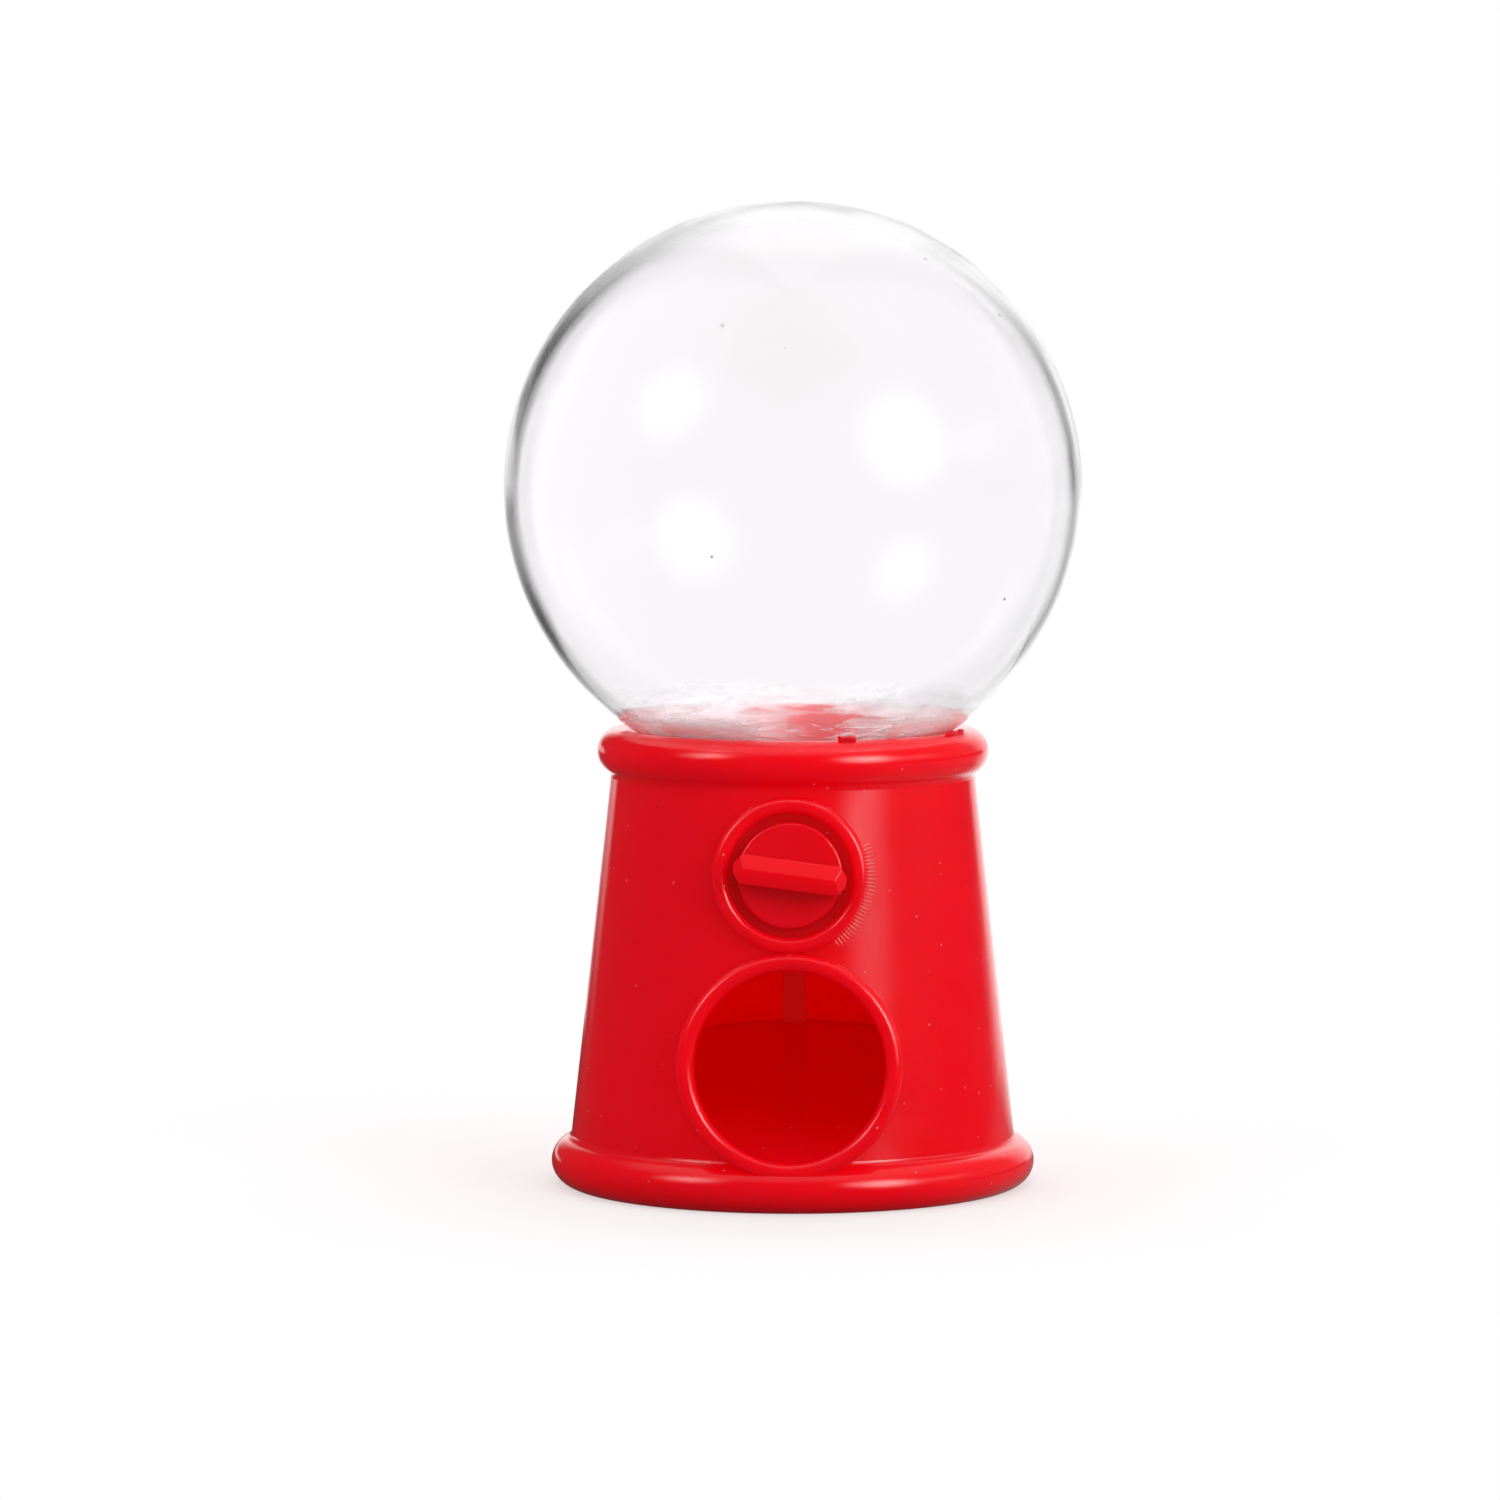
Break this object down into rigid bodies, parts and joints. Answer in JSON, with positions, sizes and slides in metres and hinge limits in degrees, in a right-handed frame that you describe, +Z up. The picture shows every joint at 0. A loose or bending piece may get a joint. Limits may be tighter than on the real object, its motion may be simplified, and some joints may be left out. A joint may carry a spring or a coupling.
{
  "type": "toy gumball machine",
  "caption": "Small toy gumball machine: clear globe plugged into a tapered base with a bead at rim and foot, a turning knob that drives a scoop, and a round mouth below it.",
  "frame": {"origin": "on the table, under the middle of the base", "axes": "+Z up, front with the knob and the mouth towards -Y, +X to the right seen from the front"},
  "size_m": [0.0416, 0.0416, 0.071],
  "materials": {
    "clear_plastic": "clear, glossy, moulded",
    "red_plastic": "glossy, moulded in colour"
  },
  "bodies": {
    "base": {"base_body": "red_plastic", "hopper_plate": "red_plastic", "chute_ramp": "red_plastic", "bottom_cover": "red_plastic"},
    "globe": {"globe": "clear_plastic"},
    "dispenser": {"knob": "red_plastic", "dispensing_rotor": "red_plastic"}
  },
  "joints": [
    {"name": "knob_turn", "type": "hinge", "parent": "base", "child": "dispenser", "pos_m": [0, -0.01383, 0.0236], "axis": [0, -0.9939, 0.1107], "continuous": true},
    {"name": "globe_lift", "type": "slide", "parent": "base", "child": "globe", "axis": [0, 0, 1], "range_m": [0, 0.04]}
  ]
}
